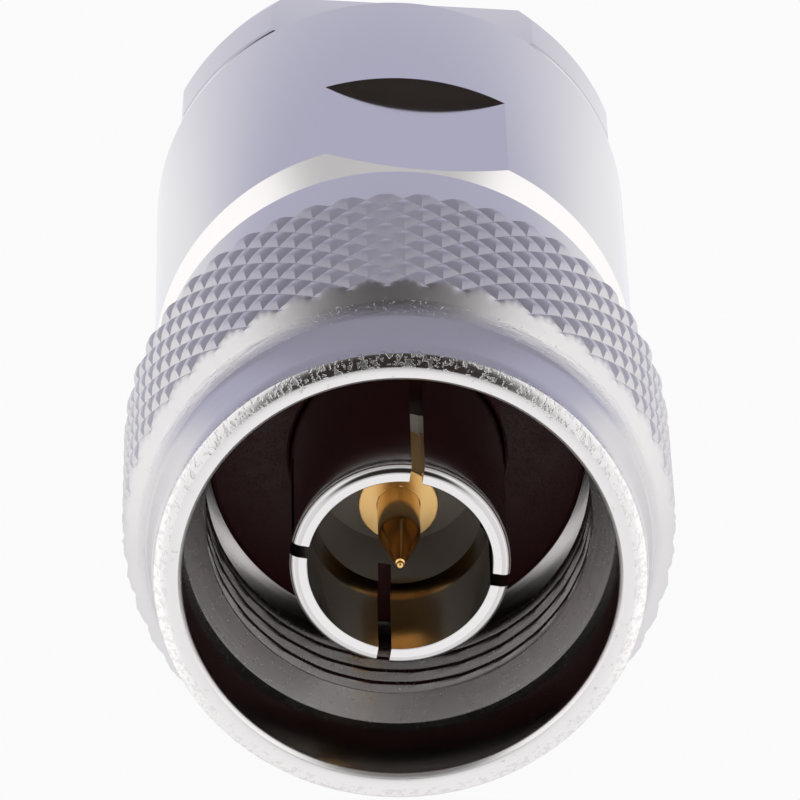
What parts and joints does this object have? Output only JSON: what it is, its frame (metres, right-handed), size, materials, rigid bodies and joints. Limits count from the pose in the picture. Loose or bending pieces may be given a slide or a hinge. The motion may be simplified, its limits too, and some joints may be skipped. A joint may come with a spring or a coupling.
{
  "type": "n type connector",
  "caption": "Coaxial cable plug with a knurled turning coupling nut, slotted outer contact, gold centre pin and a clamp nut at the cable entry.",
  "frame": {"origin": "centre of the clamp nut's rear face, where the cable enters; the plug stands on that face", "axes": "+Z along the plug's axis, from the cable entry to the mating end; X and Y are square to it"},
  "size_m": [0.021, 0.021, 0.0371],
  "materials": {
    "nut_nickel": "satin",
    "body_nickel": "gloss",
    "clamp_nickel": "gloss",
    "inner_nickel": "satin",
    "sleeve_nickel": "gloss",
    "ring_steel": "satin",
    "contact_gold": "gloss",
    "insulator": "satin",
    "gasket_red": "matte",
    "gasket_black": "matte"
  },
  "bodies": {
    "shell": {"body": "body_nickel", "retaining_ring": "ring_steel", "front_gasket": "gasket_red", "outer_contact": "sleeve_nickel", "front_insulator": "insulator", "centre_contact": "contact_gold", "rear_insulator": "insulator", "braid_clamp": "inner_nickel", "clamping_gasket": "gasket_black"},
    "coupling": {"coupling_nut": "nut_nickel"},
    "washer": {"slip_washer": "inner_nickel"},
    "clamp": {"clamp_nut": "clamp_nickel"}
  },
  "joints": [
    {"name": "coupling_nut_spin", "type": "hinge", "parent": "shell", "child": "coupling", "pos_m": [0, 0, 0.0215], "axis": [0, 0, 1], "continuous": true},
    {"name": "clamp_nut_turn", "type": "hinge", "parent": "washer", "child": "clamp", "pos_m": [0, 0, 0.006], "axis": [0, 0, 1], "range_deg": [0, 1800]},
    {"name": "clamp_nut_travel", "type": "slide", "parent": "shell", "child": "washer", "axis": [0, 0, -1], "range_m": [0, 0.0051]}
  ],
  "couplings": [
    {"joint": "clamp_nut_travel", "follows": "clamp_nut_turn", "m_per_rad": 0.00015915}
  ]
}
